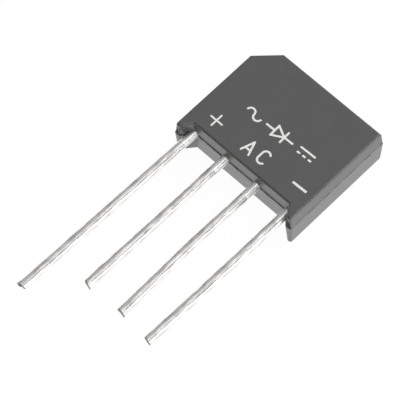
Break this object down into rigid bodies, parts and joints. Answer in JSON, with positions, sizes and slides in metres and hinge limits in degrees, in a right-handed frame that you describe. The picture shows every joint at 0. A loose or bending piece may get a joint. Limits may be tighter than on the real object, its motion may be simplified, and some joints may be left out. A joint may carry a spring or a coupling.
{
  "type": "bridge rectifier",
  "caption": "Single in-line bridge rectifier: black moulded case with a cut corner and stand-off feet, with round tinned leads along one side.",
  "frame": {"origin": "middle of the case's flat rear face, halfway between the foot tips and the top edge", "axes": "+Z out of the marked front face, -Y along the leads away from the case, +X along the row from the + lead to the - lead"},
  "size_m": [0.019, 0.0433, 0.0061],
  "materials": {
    "moulding": "fine matt moulded epoxy, near black",
    "tinned_wire": "bright tin over copper wire, lightly mottled",
    "copper_strip": "bare copper strip",
    "silicon": "diode chip with a glass coat",
    "solder": "dull solder"
  },
  "bodies": {
    "root": {"case": "moulding", "lead_plus": "tinned_wire", "lead_ac_1": "tinned_wire", "lead_ac_2": "tinned_wire", "lead_minus": "tinned_wire", "plus_bar": "copper_strip", "minus_bar": "copper_strip", "ac_strap_1": "copper_strip", "ac_strap_2": "copper_strip", "diode_chip_1": "silicon", "diode_chip_2": "silicon", "diode_chip_3": "silicon", "diode_chip_4": "silicon", "chip_solder_1_lower": "solder", "chip_solder_1_upper": "solder", "chip_solder_2_lower": "solder", "chip_solder_2_upper": "solder", "chip_solder_3_lower": "solder", "chip_solder_3_upper": "solder", "chip_solder_4_lower": "solder", "chip_solder_4_upper": "solder", "lead_solder_plus": "solder", "lead_solder_ac_1": "solder", "lead_solder_ac_2": "solder", "lead_solder_minus": "solder"}
  },
  "joints": []
}
